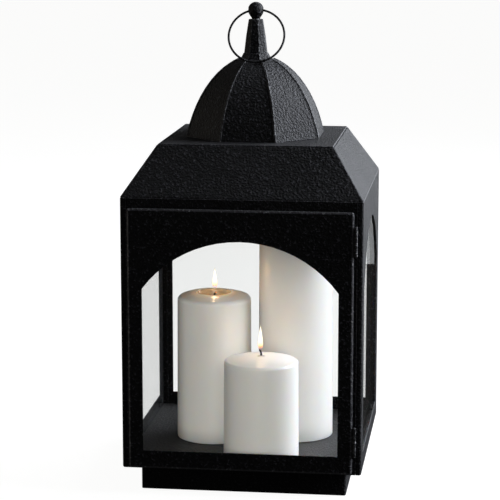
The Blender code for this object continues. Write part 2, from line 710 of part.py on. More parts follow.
def make_dome():
    """Eight like gores about the middle, closed at the top by an eight-sided cap plate."""
    centre = hub("dome_centre", (0, 0, 0))
    mesh = gore_mesh()
    look = coated("dome_coat", 0.004)
    for facet in range(FACETS):
        place("dome_gore_" + str(facet + 1), mesh, look, turn=facet * FACET_TURN, parent=centre)

    levels = cap_levels()
    across = 2 * (DOME_TOP_APOTHEM - SHEET * dome_point(1)[2].x - GAP)
    cap = faceted_sleeve([(across, levels[0]), (across, levels[1])], STUD_RADIUS + GAP, FACETS)
    place("dome_cap", to_mesh("dome_cap", cap), coated("dome_cap_coat"))


def cap_levels():
    """Under side and top of the cap plate, flush with the top ends of the gores."""
    top = dome_point(1)[1]
    return top - SHEET, top


# ---------------------------------------------------------------- finial and ring

def make_finial():
    """Base, post and ball are drawn down on the cap by one stud with a nut under the cap."""
    cap_low, cap_high = cap_levels()
    bore = STUD_RADIUS + GAP
    base_low = cap_high + GAP
    base_high = base_low + FINIAL_BASE_HEIGHT
    base = faceted_sleeve([(FINIAL_BASE_BOTTOM_ACROSS, base_low), (FINIAL_BASE_TOP_ACROSS, base_high)],
                          bore, FACETS)
    place("finial_base", to_mesh("finial_base", base), coated("finial_base_coat"))

    post_low = base_high + GAP
    post_high = post_low + POST_HEIGHT
    post = faceted_sleeve([(POST_BOTTOM_ACROSS, post_low),
                           (POST_MIDDLE_ACROSS, (post_low + post_high) / 2),
                           (POST_TOP_ACROSS, post_high)], bore, FACETS)
    place("finial_post", to_mesh("finial_post", post), coated("finial_post_coat"))

    neck_low = post_high + GAP
    ball_at = neck_low + BALL_RISE
    bore_high = ball_at - RING_HOLE_RADIUS - BALL_WEB
    profile = [(0, bore_high), (bore, bore_high), (bore, neck_low), (NECK_RADIUS, neck_low),
               (NECK_RADIUS, neck_low + NECK_HEIGHT)]
    for step in range(BALL_STEPS + 1):
        angle = TAPER_ANGLE + (math.pi - TAPER_ANGLE) * step / BALL_STEPS
        profile.append((BALL_RADIUS * math.sin(angle), ball_at - BALL_RADIUS * math.cos(angle)))
    profile = [(radius, height - ball_at) for radius, height in profile]
    ball = place("finial_ball", to_mesh("finial_ball", turned(profile, ROUND_STEPS), smooth=True),
                 coated("finial_ball_coat"), at=(0, 0, ball_at))
    circle = arc(RING_HOLE_RADIUS, 0, 360, RING_HOLE_STEPS)[:-1]
    hole = prism(circle, -2 * BALL_RADIUS, 2 * BALL_RADIUS, 0)
    bmesh.ops.translate(hole, vec=(0, 0, ball_at), verts=hole.verts)
    combine(ball, guide("ring_hole", hole), "DIFFERENCE")

    washer_high = cap_low - GAP
    washer_low = washer_high - SHEET
    washer = turned([(bore, washer_low), (WASHER_RADIUS, washer_low),
                     (WASHER_RADIUS, washer_high), (bore, washer_high)], ROUND_STEPS, closed=True)
    place("finial_washer", to_mesh("finial_washer", washer, smooth=True), zinc("washer_zinc"))
    nut_high = washer_low - GAP
    nut = faceted_sleeve([(NUT_ACROSS, nut_high - NUT_HEIGHT), (NUT_ACROSS, nut_high)], bore, NUT_SIDES)
    place("finial_nut", to_mesh("finial_nut", nut), zinc("nut_zinc"))
    stud_low = cap_low - STUD_BELOW
    stud_high = bore_high - 2 * GAP
    chamfer = STUD_RADIUS / 4
    stud = turned([(0, stud_low), (STUD_RADIUS - chamfer, stud_low), (STUD_RADIUS, stud_low + chamfer),
                   (STUD_RADIUS, stud_high - chamfer), (STUD_RADIUS - chamfer, stud_high),
                   (0, stud_high)], STUD_STEPS)
    place("finial_stud", to_mesh("finial_stud", stud, smooth=True), zinc("stud_zinc"))
    return ball_at


def ring_clearance(tilt, ball_at):
    """Free space between the tilted ring and the dome, its seams and its cap."""
    shares = [step / OUTLINE_STEPS for step in range(OUTLINE_STEPS + 1)]
    outline = [dome_point(share)[:2] for share in shares] + [(0, cap_levels()[1])]
    clearances = []
    for step in range(RING_STEPS):
        angle = 2 * math.pi * step / RING_STEPS
        x = RING_RADIUS * (math.sin(SWAY_ANGLE) - math.sin(SWAY_ANGLE - angle))
        drop = RING_RADIUS * (math.cos(SWAY_ANGLE) - math.cos(SWAY_ANGLE - angle))
        y = -drop * math.sin(tilt)
        z = ball_at - drop * math.cos(tilt)
        if z > ball_at - RING_RADIUS * math.cos(tilt):
            continue
        out = max(x * math.cos(turn * FACET_TURN) + y * math.sin(turn * FACET_TURN)
                  for turn in range(FACETS))
        nearest = (1.0, 1)
        for (r1, z1), (r2, z2) in zip(outline, outline[1:]):
            run = Vector((r2 - r1, z2 - z1))
            spot = Vector((out - r1, z - z1))
            share = max(0.0, min(1.0, spot.dot(run) / run.length_squared))
            side = 1 if run.x * spot.y < run.y * spot.x else -1
            nearest = min(nearest, ((spot - run * share).length, side))
        clearances.append(nearest[0] * nearest[1])
    return min(clearances) - WIRE_RADIUS - GAP - SEAM_SHEET


def ring_rest_tilt(ball_at):
    """The ring leans forward until its wire just clears the seams of the dome."""
    tilt = 0.0
    while ring_clearance(tilt, ball_at) < GAP and tilt < math.pi / 2:
        tilt += TILT_STEP
    return tilt


def make_ring(ball_at):
    """A plain wire ring that passes through the ball and swings about the ball's middle."""
    tilt = ring_rest_tilt(ball_at)
    bm = bmesh.new()
    wire = bmesh.ops.create_circle(bm, segments=WIRE_STEPS, radius=WIRE_RADIUS)["verts"]
    bmesh.ops.rotate(bm, cent=(0, 0, 0), matrix=Matrix.Rotation(math.pi / 2, 3, "Y"), verts=wire)
    bmesh.ops.spin(bm, geom=wire + list(bm.edges), cent=(0, 0, -RING_RADIUS), axis=(0, 1, 0),
                   angle=2 * math.pi, steps=RING_STEPS, use_merge=True)
    bmesh.ops.remove_doubles(bm, verts=bm.verts, dist=1e-7)
    bmesh.ops.rotate(bm, cent=(0, 0, 0), matrix=Matrix.Rotation(-SWAY_ANGLE, 3, "Y"), verts=bm.verts)
    ring = place("carry_ring", to_mesh("carry_ring", bm, smooth=True), coated("ring_coat", 0.006),
                 at=(0, 0, ball_at))
    ring.rotation_euler = (-tilt, 0, 0)


# ---------------------------------------------------------------- candles

def candle_profile(radius, height, shoulder, crown, pool_radius, pool_depth):
    """Half section of a pillar candle, from the middle of its foot to the wick's seat.

    The top rises by its crown from the shoulder to the edge of the pool.
    """
    top_radius = radius * (1 - CANDLE_TAPER)
    foot_radius = radius * (1 + CANDLE_TAPER)
    seat = WICK_RADIUS + GAP
    profile = [(0, 0), (foot_radius - CANDLE_FOOT, 0), (foot_radius, CANDLE_FOOT)]
    for across, up in arc(shoulder, 0, 90, SHOULDER_STEPS):
        profile.append((top_radius - shoulder + across, height - shoulder + up))
    pool = height + crown - pool_depth
    profile += [(pool_radius, height + crown - shoulder * POOL_LIP), (pool_radius * POOL_FLOOR, pool),
                (seat, pool - GAP), (seat, pool - WICK_SEAT), (0, pool - WICK_SEAT)]
    return profile


def wick_mesh(name, length, lean):
    """A short cord that stands up and then curls over; Z = 0 is the bottom of its seat."""
    path = [(0, GAP), (0, WICK_SEAT + length * WICK_STRAIGHT)]
    piece = length * (1 - WICK_STRAIGHT) / WICK_STEPS
    for step in range(1, WICK_STEPS + 1):
        angle = lean * step / WICK_STEPS
        x, z = path[-1]
        path.append((x + piece * math.sin(angle), z + piece * math.cos(angle)))
    bm = bmesh.new()
    rings = []
    for i, (x, z) in enumerate(path):
        before = path[max(i - 1, 0)]
        after = path[min(i + 1, len(path) - 1)]
        tilt = math.atan2(after[0] - before[0], after[1] - before[1])
        ring = []
        for k in range(WICK_SIDES):
            turn = 2 * math.pi * k / WICK_SIDES
            across = WICK_RADIUS * math.cos(turn)
            ring.append(bm.verts.new((x + across * math.cos(tilt), WICK_RADIUS * math.sin(turn),
                                      z - across * math.sin(tilt))))
        rings.append(ring)
    for lower, upper in zip(rings, rings[1:]):
        for k in range(WICK_SIDES):
            j = (k + 1) % WICK_SIDES
            bm.faces.new((lower[k], lower[j], upper[j], upper[k]))
    bm.faces.new(reversed(rings[0]))
    bm.faces.new(rings[-1])
    return to_mesh(name, bm, smooth=True)


def make_candle(name, at, radius, height, shoulder, crown, pool_radius, pool_depth, wick_length,
                wick_lean, wick_turn):
    """Wax and wick share one hub, on the axis the candle is lifted along."""
    stand = hub(name + "_lift_axis", (at[0], at[1], FLOOR_TOP + GAP))
    profile = candle_profile(radius, height, shoulder, crown, pool_radius, pool_depth)
    body = turned(profile, CANDLE_STEPS)
    place(name + "_wax", to_mesh(name + "_wax", body, smooth=True), wax(name + "_wax_white"),
          parent=stand)
    place(name + "_wick", wick_mesh(name + "_wick", wick_length, math.radians(wick_lean)),
          finish(name + "_wick_charred", (0.02, 0.018, 0.016), 0.9),
          at=(0, 0, height + crown - pool_depth - WICK_SEAT), turn=math.radians(wick_turn),
          parent=stand)


def make_candles():
    clip_back = DOOR_SHEET_BACK + GAP + GLASS + GAP + TAB_SHEET
    front_y = clip_back + FRONT_CANDLE_GAP + FRONT_CANDLE["radius"]
    for name, offset, sizes in (("front_candle", (0, 0), FRONT_CANDLE),
                                ("middle_candle", MIDDLE_CANDLE_OFFSET, MIDDLE_CANDLE),
                                ("tall_candle", TALL_CANDLE_OFFSET, TALL_CANDLE)):
        make_candle(name, (FRONT_CANDLE_X + offset[0], front_y + offset[1]), **sizes)


# ---------------------------------------------------------------- the whole lantern

make_plinth()
make_floor()
make_walls()
make_fixed_panes()
door = hub("door_hinge_axis", (AXIS_X, AXIS_Y, 0))
make_door(door)
make_catch()
make_roof()
make_dome()
ball_height = make_finial()
make_ring(ball_height)
make_candles()
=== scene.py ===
# %% [markdown]
# # A black steel lantern with three lit pillar candles
#
# The lantern's pieces come from its engineering model, where each one is a plain solid in the
# right place. These cells turn them into the real thing: powder-coated steel with soft edges,
# clear glass, wax, braided wicks and flames. They can be read in order, like a notebook.

# %% Load the frame
import json
import math

import bmesh
import bpy
from mathutils import Matrix, Vector, noise

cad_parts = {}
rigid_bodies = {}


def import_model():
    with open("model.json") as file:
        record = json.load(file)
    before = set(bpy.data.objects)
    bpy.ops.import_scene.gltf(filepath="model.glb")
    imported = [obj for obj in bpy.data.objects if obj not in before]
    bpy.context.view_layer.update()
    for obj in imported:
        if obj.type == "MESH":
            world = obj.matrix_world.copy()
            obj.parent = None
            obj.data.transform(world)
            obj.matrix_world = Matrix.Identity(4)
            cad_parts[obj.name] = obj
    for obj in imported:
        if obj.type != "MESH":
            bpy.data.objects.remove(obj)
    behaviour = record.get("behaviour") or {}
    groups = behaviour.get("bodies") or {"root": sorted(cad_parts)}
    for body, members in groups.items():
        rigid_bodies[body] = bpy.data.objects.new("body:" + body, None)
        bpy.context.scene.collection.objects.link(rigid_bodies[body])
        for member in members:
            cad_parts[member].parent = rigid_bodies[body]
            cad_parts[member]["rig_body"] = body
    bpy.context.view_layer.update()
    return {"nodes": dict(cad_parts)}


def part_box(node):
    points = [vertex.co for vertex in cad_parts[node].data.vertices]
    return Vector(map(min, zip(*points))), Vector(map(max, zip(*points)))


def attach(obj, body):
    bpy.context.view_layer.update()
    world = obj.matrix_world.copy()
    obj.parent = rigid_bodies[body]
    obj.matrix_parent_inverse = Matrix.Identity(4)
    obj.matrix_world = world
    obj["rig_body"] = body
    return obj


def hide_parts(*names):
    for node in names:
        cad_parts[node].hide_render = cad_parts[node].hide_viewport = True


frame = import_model()

# %% [markdown]
# ## The camera
#
# A product shot is taken from well back with a long lens, so that the upright edges stay
# nearly parallel. The camera stands a little to the right of the lantern, looks slightly down
# on it, and is turned by plain angles, which keeps the horizon level.

# %% Camera
CAMERA_PLACE = (0.2567, -2.0863, 0.6190)
LOOKS_DOWN = 0.1788
TURNED_LEFT = 0.1254
LENS_MM = 142.06

camera = bpy.data.objects.new("camera", bpy.data.cameras.new("camera"))
bpy.context.scene.collection.objects.link(camera)
camera.location = CAMERA_PLACE
camera.rotation_euler = (math.pi / 2 - LOOKS_DOWN, 0, TURNED_LEFT)
camera.data.lens = LENS_MM
bpy.context.scene.camera = camera
print("camera stands", round(Vector(CAMERA_PLACE).length, 2), "m from the lantern's foot")

# %% [markdown]
# ## Meshes into objects
#
# Every new shape is drawn with bmesh and ends the same way: doubles merged, faces turned
# outwards, rounded faces shaded smooth and true corners kept sharp. Its place is in its mesh
# and its object stays at the origin, so patterns in object space keep still on the surface.

# %% From a bmesh to a piece
MERGE = 1e-6
CORNER = math.radians(35)


def to_object(name, shape, material):
    """Close a bmesh into an object at the origin, smooth apart from its real corners."""
    bmesh.ops.remove_doubles(shape, verts=shape.verts, dist=MERGE)
    bmesh.ops.recalc_face_normals(shape, faces=shape.faces)
    mesh = bpy.data.meshes.new(name)
    shape.to_mesh(mesh)
    shape.free()
    mesh.shade_smooth()
    mesh.set_sharp_from_angle(angle=CORNER)
    mesh.materials.append(material)
    made = bpy.data.objects.new(name, mesh)
    bpy.context.scene.collection.objects.link(made)
    return made


# %% [markdown]
# ## The floor
#
# A pale floor that runs far past the view makes a seamless backdrop, as a paper sweep does in
# a studio. It glows a little, so that it stays pale behind the black steel. It lights nothing
# and shows in no reflection: a matt black door in front of a white floor would look grey.

# %% Floor
FLOOR_HALF = 30.0
FLOOR_DROP = 0.0001
FLOOR_GLOW = 0.955

floor_look = bpy.data.materials.new("studio_floor")
floor_look.use_nodes = True
floor_shader = floor_look.node_tree.nodes["Principled BSDF"]
floor_shader.inputs["Base Color"].default_value = (0.15, 0.15, 0.15, 1)
floor_shader.inputs["Roughness"].default_value = 0.9
floor_shader.inputs["Emission Color"].default_value = (1.0, 1.0, 0.995, 1)
floor_shader.inputs["Emission Strength"].default_value = FLOOR_GLOW

sweep = bmesh.new()
bmesh.ops.create_grid(sweep, x_segments=1, y_segments=1, size=FLOOR_HALF)
bmesh.ops.translate(sweep, vec=(0, 0, -FLOOR_DROP), verts=sweep.verts)
floor = to_object("studio_floor", sweep, floor_look)
floor.visible_glossy = False
floor.visible_diffuse = False
print("floor:", 2 * FLOOR_HALF, "m across")

# %% [markdown]
# ## The lights
#
# Black steel shows its form by its highlights. The big light is a window on the right, a little
# behind the front of the lantern, so it grazes every face that looks right or up and leaves the
# door black. A second one further back skims the same faces, where the grain of the coating
# shows best. A weak one stands on the left and a weaker one hangs high in front. Area lights
# give soft shadows, and the bigger they are, the softer.

# %% Lights
AIM = Vector((0.0, 0.0, 0.25))


def softbox(name, direction, distance, size, watts, colour):
    """A square area light that faces the lantern."""
    lamp = bpy.data.lights.new(name, "AREA")
    lamp.shape = "SQUARE"
    lamp.size = size
    lamp.energy = watts
    lamp.color = colour
    made = bpy.data.objects.new(name, lamp)
    bpy.context.scene.collection.objects.link(made)
    away = Vector(direction).normalized()
    made.location = AIM + away * distance
    made.rotation_euler = away.to_track_quat("Z", "Y").to_euler()
    return made


softbox("window_light", (0.86, 0.16, 0.42), 1.9, 1.5, 84, (0.88, 0.92, 1.0))
softbox("skimming_light", (0.72, 0.72, 0.34), 2.2, 1.3, 30, (0.88, 0.92, 1.0))
softbox("left_light", (-0.95, 0.05, 0.16), 2.2, 1.2, 6, (1.0, 0.94, 0.84))
softbox("high_light", (0.30, -0.60, 0.90), 2.6, 1.2, 2.2, (0.98, 0.98, 1.0))

# %% [markdown]
# ## The room
#
# Past the far end of the floor the eye meets a pale wall. It has to look pale without giving
# light, as the floor does. A Light Path node tells whether a ray comes straight from the eye,
# and only for those rays does the background glow.

# %% Room
ROOM_LIGHT = 0.035
WALL_GLOW = 0.92

world = bpy.data.worlds.new("dim_room")
world.use_nodes = True
room = world.node_tree
eye = room.nodes.new("ShaderNodeLightPath")
strength = room.nodes.new("ShaderNodeMath")
strength.operation = "MULTIPLY_ADD"
strength.inputs[1].default_value = WALL_GLOW
strength.inputs[2].default_value = ROOM_LIGHT
room.links.new(eye.outputs["Is Camera Ray"], strength.inputs[0])
room.links.new(strength.outputs[0], room.nodes["Background"].inputs["Strength"])
room.nodes["Background"].inputs["Color"].default_value = (1.0, 1.0, 1.0, 1)
bpy.context.scene.world = world
bpy.context.scene.view_settings.view_transform = "Standard"
print("room light:", ROOM_LIGHT)

# %% [markdown]
# ## A reflector card
#
# The side wall and its pane are seen so edge-on that they mirror whatever stands behind the
# lantern on the right. In a studio that is a white card, so one stands on the floor there too.
# It can only be seen in reflections.

# %% Reflector card
CARD_SIZE = 0.45
CARD_PLACE = (0.45, 1.1, 0.47)
CARD_GLOW = 0.42

card_look = bpy.data.materials.new("reflector_card")
card_look.use_nodes = True
card_shader = card_look.node_tree.nodes["Principled BSDF"]
card_shader.inputs["Emission Color"].default_value = (0.96, 1.0, 0.98, 1)
card_shader.inputs["Emission Strength"].default_value = CARD_GLOW

sheet = bmesh.new()
bmesh.ops.create_grid(sheet, x_segments=1, y_segments=1, size=CARD_SIZE)
bmesh.ops.rotate(sheet, cent=(0, 0, 0), matrix=Matrix.Rotation(math.pi / 2, 3, "X"), verts=sheet.verts)
bmesh.ops.translate(sheet, vec=CARD_PLACE, verts=sheet.verts)
card = to_object("reflector_card", sheet, card_look)
for seen_by in ("visible_camera", "visible_diffuse", "visible_shadow", "visible_transmission"):
    setattr(card, seen_by, False)
print("reflector card:", 2 * CARD_SIZE, "m across")

# %% [markdown]
# ## Shader maths as plain expressions
#
# A material is a graph of nodes, and a sum such as 0.5 + 0.2 * grain would take two Math nodes
# and three links by hand. A small class wraps an output socket and overloads the operators, so
# that the sum can be written as a sum. Every other node comes from one method.

# %% A socket that can be added and multiplied


class Sock:
    """An output socket; arithmetic on it adds Math nodes."""

    def __init__(self, finish, socket):
        self.finish = finish
        self.socket = socket

    def math(self, operation, left, right):
        return self.finish.node("ShaderNodeMath", {"operation": operation}, {0: left, 1: right})

    def __add__(self, other):
        return self.math("ADD", self, other)

    def __sub__(self, other):
        return self.math("SUBTRACT", self, other)

    def __rsub__(self, other):
        return self.math("SUBTRACT", other, self)

    def __mul__(self, other):
        return self.math("MULTIPLY", self, other)

    def __pow__(self, other):
        return self.math("POWER", self, other)

    __radd__ = __add__
    __rmul__ = __mul__


class Finish:
    """A material under construction."""

    def __init__(self, name):
        self.material = bpy.data.materials.new(name)
        self.material.use_nodes = True
        self.tree = self.material.node_tree
        self.shader = self.tree.nodes["Principled BSDF"]

    def feed(self, target, value):
        """Link a socket, or set a number or a colour."""
        if isinstance(value, Sock):
            self.tree.links.new(value.socket, target)
        else:
            target.default_value = value

    def node(self, kind, settings, sockets, out=0):
        """Add a node: its settings first, then the values or links of its sockets."""
        made = self.tree.nodes.new(kind)
        for key, value in settings.items():
            if key == "stops":
                ramp = made.color_ramp.elements
                while len(ramp) < len(value):
                    ramp.new(1.0)
                for element, (position, colour) in zip(ramp, value):
                    element.position = position
                    element.color = (*colour, 1)
            else:
                setattr(made, key, value)
        for key, value in sockets.items():
            self.feed(made.inputs[key], value)
        return Sock(self, made.outputs[out])

    def blend(self, factor, first, second):
        """Two colours mixed by a factor."""
        return self.node("ShaderNodeMix", {"data_type": "RGBA"}, {0: factor, 6: first, 7: second}, 2)

    def grain(self, place, size, detail=2.0):
        """Noise whose blobs are about size metres across."""
        return self.node("ShaderNodeTexNoise", {}, {"Vector": place, "Scale": 1 / size, "Detail": detail})

    def step(self, value, low, high):
        """0 below low, 1 above high, smooth between."""
        return self.node("ShaderNodeMapRange", {"interpolation_type": "SMOOTHSTEP"},
                         {"Value": value, "From Min": low, "From Max": high})

    def place(self):
        return self.node("ShaderNodeTexCoord", {}, {}, "Object")

    def bump(self, height, strength, depth):
        return self.node("ShaderNodeBump", {}, {"Strength": strength, "Distance": depth, "Height": height})

    def set(self, **sockets):
        """Feed the shader's sockets; an underscore in a name stands for a space."""
        for key, value in sockets.items():
            self.feed(self.shader.inputs[key.replace("_", " ")], value)
        return self.material


print("shader helpers ready")

# %% [markdown]
# ## Powder coating
#
# The steel is powder-coated: a dry black powder is baked into a matt skin like very fine
# sandpaper. Most of the grain is in the relief. Each bump is one or two millimetres across and
# nearly black, and where light grazes the surface its lit side shines, so a face that the
# window skims is covered in pale specks while the door stays black. A wider noise
# lets the sheen drift across a panel. On faces that look up lies a trace of pale dust.

# %% Powder coating
GRAIN_SIZE = 0.0024
GRAIN_DEPTH = 0.0024


def powder_coat(name, black=(0.0026, 0.0025, 0.0030), speck=(0.052, 0.052, 0.060), dust=0.40, rough=0.42,
                gloss=0.26):
    coat = Finish(name)
    place = coat.place()
    fine = coat.grain(place, GRAIN_SIZE, 2.5)
    wide = coat.grain(place, 0.045)
    specks = coat.step(fine, 0.58, 0.70)
    normal = coat.node("ShaderNodeNewGeometry", {}, {}, "Normal")
    up = coat.node("ShaderNodeSeparateXYZ", {}, {0: normal}, 2)
    settled = coat.step(up, 0.35, 1.0) * wide * dust
    colour = coat.blend(specks, (*black, 1), (*speck, 1))
    colour = coat.blend(settled, colour, (0.12, 0.12, 0.125, 1))
    bump = coat.bump(fine, 0.85, GRAIN_DEPTH)
    return coat.set(Base_Color=colour, Roughness=rough + 0.16 * wide + 0.12 * fine, Normal=bump,
                    Specular_IOR_Level=gloss)


BLACK_COAT = powder_coat("black_powder_coat")
FLOOR_COAT = powder_coat("floor_powder_coat", black=(0.030, 0.029, 0.028), speck=(0.085, 0.082, 0.078))
# The edge coat is painted much lighter: partly rubbed wear, partly a painted highlight for the line of
# light along the edges.
WORN_EDGE_HIGHLIGHT_COAT = powder_coat("worn_edge_painted_highlight_coat", black=(0.045, 0.045, 0.050), speck=(0.30, 0.30, 0.32), rough=0.26,
                        gloss=0.7)
# The hinge coat is smoother and glossier, and its specks are painted lighter: partly rubbed wear, partly a
# painted highlight along the barrels.
HINGE_COAT = powder_coat("worn_hinge_painted_highlight_coat", speck=(0.11, 0.11, 0.12), rough=0.20, gloss=0.9)
print("coats:", BLACK_COAT.name, FLOOR_COAT.name, HINGE_COAT.name)

# %% [markdown]
# ## Steel pieces
#
# The solids are right in shape, but their cut edges are knife sharp and no real edge is. A
# copy of each has its loose triangles merged, its flat faces joined, and every corner rounded
# by a quarter of a millimetre, about what the coating does. Edges are where a coat wears first,
# so the rounded faces, and the wider bends round the door, take a second material: the same
# coat rubbed thinner and smoother and painted much lighter, partly wear and partly a painted
# highlight for the line of light these edges catch. A Weighted Normal modifier keeps the flats
# flat while the folds shade smoothly.

# %% Coated steel
EDGE_ROUND = 0.00025
EDGE_SEGMENTS = 2
FLAT = math.radians(0.3)
BEND_FACES = (0.2, 0.98)


def finished(node, material, edge=EDGE_ROUND, worn_highlight=None):
    """A copy of a frame piece with soft edges, which stands for it on the same body."""
    shape = bmesh.new()
    shape.from_mesh(frame["nodes"][node].data)
    bmesh.ops.remove_doubles(shape, verts=shape.verts, dist=MERGE)
    bmesh.ops.dissolve_limit(shape, angle_limit=FLAT, verts=shape.verts, edges=shape.edges)
    corners = [e for e in shape.edges if e.is_manifold and e.calc_face_angle() > CORNER]
    rounded = bmesh.ops.bevel(shape, geom=corners, offset=edge, segments=EDGE_SEGMENTS, profile=0.5,
                              affect="EDGES", clamp_overlap=True, material=-1)["faces"]
    # The door's wider bends join the rounded faces, and with an edge coat all of them take its lighter
    # colour: partly wear, partly a painted highlight.
    if node == "door_panel":
        rounded += [f for f in shape.faces if BEND_FACES[0] < -f.normal.y < BEND_FACES[1]]
    if worn_highlight:
        for face in rounded:
            face.material_index = 1
    made = to_object(node + "_finished", shape, material)
    if worn_highlight:
        made.data.materials.append(worn_highlight)
    even = made.modifiers.new("flats_stay_flat", "WEIGHTED_NORMAL")
    even.keep_sharp = True
    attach(made, frame["nodes"][node]["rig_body"])
    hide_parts(node)
    return made


STEEL = ["plinth", "front_frame", "left_wall", "right_wall", "back_wall", "roof_hip", "roof_plate",
         "dome_cap", "finial_base", "finial_post", "finial_ball"]
STEEL += [f"dome_gore_{number}" for number in range(1, 9)]
HINGES = [node for node in frame["nodes"] if node.startswith("hinge_")]
for node in STEEL:
    finished(node, BLACK_COAT, worn_highlight=WORN_EDGE_HIGHLIGHT_COAT)
for node in HINGES:
    finished(node, HINGE_COAT)
finished("door_panel", BLACK_COAT, worn_highlight=WORN_EDGE_HIGHLIGHT_COAT)
finished("floor_tray", FLOOR_COAT)
print("coated steel pieces:", len(STEEL) + len(HINGES) + 2)

# %% Small pieces that keep their shape


def repaint(node, material):
    """Give a frame piece a finish; its shape stays."""
    frame["nodes"][node].material_slots[0].material = material


TABS = [node for node in frame["nodes"] if "_tab_" in node]
for node in TABS:
    repaint(node, BLACK_COAT)
print("clips:", len(TABS))

# %% [markdown]
# ## Weld beads
#
# The four walls are separate sheets that meet along upright seams, at the front and at the
# back. They are welded from inside, which also keeps the daylight out. Each bead is a circle
# drawn out along the seam, with small ripples where the welder paused.

# %% Weld beads
BEAD_RADIUS = 0.0010
BEAD_SIDES = 10
RIPPLE = 0.0055
RIPPLE_DEPTH = 0.00012

SHEET = 0.0012
HALF_SEAM = 0.00015
SUNK = 0.6

wall_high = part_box("right_wall")[1]
frame_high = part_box("front_frame")[1]
tray_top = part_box("floor_tray")[1].z


def bead(name, x, y):
    """One run of weld, a disc drawn up the seam step by step."""
    shape = bmesh.new()
    ring = bmesh.ops.create_circle(shape, segments=BEAD_SIDES, radius=BEAD_RADIUS, cap_ends=True)["verts"]
    bmesh.ops.translate(shape, vec=(x, y, tray_top), verts=ring)
    steps = round((frame_high.z - tray_top) / RIPPLE * 2)
    rise = (frame_high.z - tray_top) / steps
    face = shape.faces[:]
    for step in range(steps):
        grown = bmesh.ops.extrude_face_region(shape, geom=face)["geom"]
        ring = [item for item in grown if isinstance(item, bmesh.types.BMVert)]
        bmesh.ops.delete(shape, geom=face if step else [], context="FACES_ONLY")
        face = [item for item in grown if isinstance(item, bmesh.types.BMFace)]
        swell = 1 + (RIPPLE_DEPTH / BEAD_RADIUS) * (1 if step % 2 else -1)
        centre = Vector((x, y, ring[0].co.z))
        bmesh.ops.translate(shape, vec=(0, 0, rise), verts=ring)
        bmesh.ops.scale(shape, vec=(swell, swell, 1), space=Matrix.Translation(-centre), verts=ring)
    made = to_object(name, shape, BLACK_COAT)
    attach(made, "lantern_body")


seam_x = frame_high.x + HALF_SEAM
inner_y = wall_high.y - SHEET
for side, x in (("left", -seam_x), ("right", seam_x)):
    bead("weld_bead_front_" + side, x, -inner_y + BEAD_RADIUS * (1 - SUNK))
    bead("weld_bead_back_" + side, x, inner_y - BEAD_RADIUS * (1 - SUNK))
print("weld beads: 4")

# %% [markdown]
# ## The carrying ring
#
# A wire ring is a circle swept round a bigger circle. It hangs through the ball of the finial,
# a little to one side, and leans forward on the dome. Its box gives the rest: half the width
# less the wire is its radius, and the depth of the box says how far it leans.

# %% Carrying ring
RING_TURNS = 120
WIRE_SIDES = 18
WIRE_RADIUS = 0.00115

ring_low, ring_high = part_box("carry_ring")
ring_size = Vector(ring_high) - Vector(ring_low)
ring_radius = ring_size.x / 2 - WIRE_RADIUS
lean = math.asin((ring_size.y / 2 - WIRE_RADIUS) / ring_radius)

ring_shape = bmesh.new()
section = bmesh.ops.create_circle(ring_shape, segments=WIRE_SIDES, radius=WIRE_RADIUS)["verts"]
bmesh.ops.rotate(ring_shape, cent=(0, 0, 0), matrix=Matrix.Rotation(math.pi / 2, 3, "Y"), verts=section)
bmesh.ops.translate(ring_shape, vec=(0, 0, ring_radius), verts=section)
bmesh.ops.spin(ring_shape, geom=section + ring_shape.edges[:], cent=(0, 0, 0), axis=(0, 1, 0),
               angle=2 * math.pi, steps=RING_TURNS, use_merge=True)
bmesh.ops.rotate(ring_shape, cent=(0, 0, 0), matrix=Matrix.Rotation(-lean, 3, "X"), verts=ring_shape.verts)
bmesh.ops.translate(ring_shape, vec=Vector(ring_low) + ring_size / 2, verts=ring_shape.verts)
ring = to_object("carry_ring_wire", ring_shape, BLACK_COAT)
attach(ring, "carry_ring")
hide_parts("carry_ring")
print("ring:", round(2000 * ring_radius, 1), "mm across, leans", round(math.degrees(lean), 1), "degrees")

# %% [markdown]
# ## Glass
#
# A window pane is nearly invisible from the front and a mirror from the side. A Transparent
# shader lets light and sight straight through, without the dark shadows that a refracting
# slab casts, and a Glossy one adds the reflection. Its share rises with the fifth power of how
# far the surface turns away, as Schlick's formula says. Each pane is crossed twice, so each of
# its faces carries half of the reflection and half of the glass's faint tint.

# %% Glass
FACE_ON = 0.012
EDGE_ON = 0.30

clear = Finish("clear_glass")
away = clear.node("ShaderNodeLayerWeight", {}, {"Blend": 0.5}, "Facing")
mirror_share = FACE_ON + (EDGE_ON - FACE_ON) * away ** 5.0
passing = clear.node("ShaderNodeBsdfTransparent", {}, {"Color": (0.944, 0.946, 0.942, 1)})
gloss = clear.node("ShaderNodeBsdfGlossy", {}, {"Color": (1, 1, 1, 1), "Roughness": 0.02})
pane = clear.node("ShaderNodeMixShader", {}, {0: mirror_share, 1: passing, 2: gloss})
clear.tree.links.new(pane.socket, clear.tree.nodes["Material Output"].inputs["Surface"])
clear.tree.nodes.remove(clear.shader)
for node in ("left_glass", "right_glass", "back_glass", "door_glass"):
    finished(node, clear.material, edge=0.0004)
print("panes: 4")

# %% [markdown]
# ## Metal that doesn't show much
#
# The stud, washer and nut inside the dome are zinc-plated, and the catch is a bar of ferrite.
# They are seen only with the door open or from below, but a plain grey would still stand out.

# %% Zinc and ferrite
zinc = Finish("zinc_steel")
patches = zinc.grain(zinc.place(), 0.0025, 3.0)
zinc_colour = zinc.blend(patches, (0.46, 0.47, 0.49, 1), (0.66, 0.66, 0.65, 1))
zinc.set(Base_Color=zinc_colour, Roughness=0.28 + 0.22 * patches, Metallic=1.0)
for node in ("finial_stud", "finial_washer", "finial_nut"):
    repaint(node, zinc.material)

